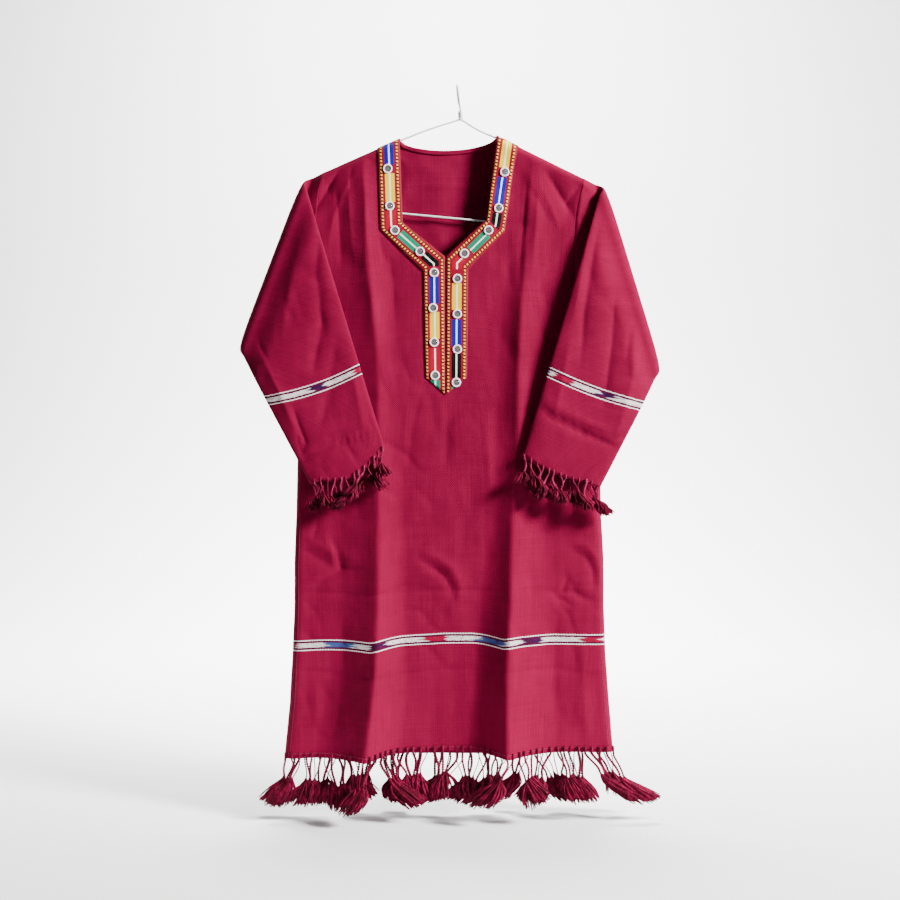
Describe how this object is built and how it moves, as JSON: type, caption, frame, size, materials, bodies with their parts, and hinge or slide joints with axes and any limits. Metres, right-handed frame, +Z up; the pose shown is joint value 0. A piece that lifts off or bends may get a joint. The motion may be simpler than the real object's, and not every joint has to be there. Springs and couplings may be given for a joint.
{
  "type": "kurta tunic on a wire hanger",
  "caption": "Long handloom tunic with a ribboned V neck, side slits and fringed hem and cuffs, sleeves folded forward, hung on a plain wire hanger.",
  "frame": {"origin": "the top of the inside of the hanger's hook, where a nail or rod holds it", "axes": "+Z up, the tunic's front towards -Y, +X to the right of someone who looks at the front"},
  "size_m": [0.6423, 0.1126, 1.1375],
  "materials": {
    "cloth": "soft handwoven twill, maroon",
    "ribbon": "woven ribbon with satin bars and small round mirrors",
    "fringe": "twisted yarn ending in fluffy tufts",
    "hanger_wire": "white coated wire"
  },
  "bodies": {
    "root": {"front_panel": "cloth", "back_panel": "cloth", "sleeve_left": "cloth", "sleeve_right": "cloth", "neck_ribbon_left": "ribbon", "neck_ribbon_right": "ribbon", "back_neck_binding": "cloth", "hem_fringe_front": "fringe", "hem_fringe_back": "fringe", "cuff_fringe_left": "fringe", "cuff_fringe_right": "fringe", "hanger": "hanger_wire"}
  },
  "joints": []
}
